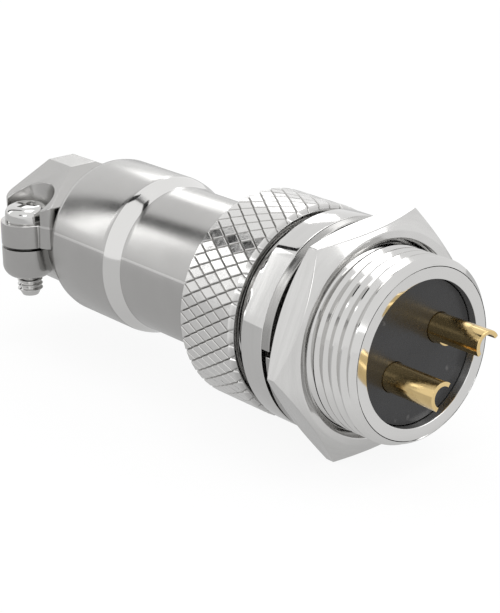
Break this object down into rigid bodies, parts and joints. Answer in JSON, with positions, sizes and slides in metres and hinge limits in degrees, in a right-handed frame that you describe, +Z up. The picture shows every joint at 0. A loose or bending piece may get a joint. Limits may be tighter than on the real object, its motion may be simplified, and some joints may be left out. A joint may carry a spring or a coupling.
{
  "type": "circular power connector",
  "caption": "Two-contact circular panel connector: cable plug with knurled coupling ring and cable clamp, mated to a threaded panel socket with hexagon nut, lock washer and solder cups.",
  "frame": {"origin": "on the connector's axis, in the plane of the flange face that bears on the panel", "axes": "+X along the axis towards the solder cups, +Z up past the clamp screws' heads, +Y by the right hand"},
  "size_m": [0.0546, 0.0218, 0.02],
  "materials": {
    "plated_shell": "bright nickel plate on turned brass",
    "bright_nut": "bright nickel plate, lightly brushed on the flats",
    "knurled_plate": "bright nickel plate over a diamond knurl",
    "satin_cast": "satin nickel on a zinc die casting, polished at the shoulder",
    "screw_steel": "bright plated steel",
    "spring_steel": "plain spring steel",
    "black_insulator": "moulded thermoset with a low gloss",
    "gold_contact": "pale gold flash on brass"
  },
  "bodies": {
    "socket": {"socket_shell": "plated_shell", "socket_insulator": "black_insulator", "socket_contact_1": "gold_contact", "socket_contact_2": "gold_contact", "socket_retaining_ring": "spring_steel"},
    "plug": {"plug_shell": "plated_shell", "plug_insulator": "black_insulator", "plug_contact_1": "gold_contact", "plug_contact_2": "gold_contact", "plug_retaining_ring": "spring_steel", "back_shell": "satin_cast"},
    "ring": {"coupling_ring": "knurled_plate"},
    "washer": {"lock_washer": "spring_steel"},
    "nut": {"hex_nut": "bright_nut"},
    "saddle": {"clamp_saddle": "satin_cast"},
    "screw_1": {"clamp_screw_1": "screw_steel"},
    "screw_2": {"clamp_screw_2": "screw_steel"},
    "set_screw": {"locking_set_screw": "screw_steel"}
  },
  "joints": [
    {"name": "plug_slide", "type": "slide", "parent": "socket", "child": "plug", "axis": [-1, 0, 0], "range_m": [0, 0.005]},
    {"name": "ring_turn", "type": "hinge", "parent": "plug", "child": "ring", "pos_m": [-0.007, 0, 0], "axis": [-1, 0, 0], "range_deg": [0, 1800]},
    {"name": "washer_slide", "type": "slide", "parent": "socket", "child": "washer", "axis": [1, 0, 0], "range_m": [0, 0.0044]},
    {"name": "nut_turn", "type": "hinge", "parent": "washer", "child": "nut", "pos_m": [0.003, 0, 0], "axis": [1, 0, 0], "range_deg": [0, 1584]},
    {"name": "saddle_slide", "type": "slide", "parent": "plug", "child": "saddle", "axis": [0, 0, 1], "range_m": [0, 0.00225]},
    {"name": "clamp_screw_1_turn", "type": "hinge", "parent": "saddle", "child": "screw_1", "pos_m": [-0.0373, -0.0067, 0], "axis": [0, 0, 1], "range_deg": [0, 1800]},
    {"name": "clamp_screw_2_turn", "type": "hinge", "parent": "saddle", "child": "screw_2", "pos_m": [-0.0373, 0.0067, 0], "axis": [0, 0, 1], "range_deg": [0, 1800]},
    {"name": "set_screw_turn", "type": "hinge", "parent": "plug", "child": "set_screw", "pos_m": [-0.0136, 0, 0], "axis": [0, 0.9397, -0.342], "range_deg": [0, 720]}
  ],
  "couplings": [
    {"joint": "plug_slide", "follows": "ring_turn", "m_per_rad": 0.00015915},
    {"joint": "washer_slide", "follows": "nut_turn", "m_per_rad": 0.00015915},
    {"joint": "clamp_screw_1_turn", "follows": "saddle_slide", "rad_per_m": 13963},
    {"joint": "clamp_screw_2_turn", "follows": "saddle_slide", "rad_per_m": 13963}
  ]
}
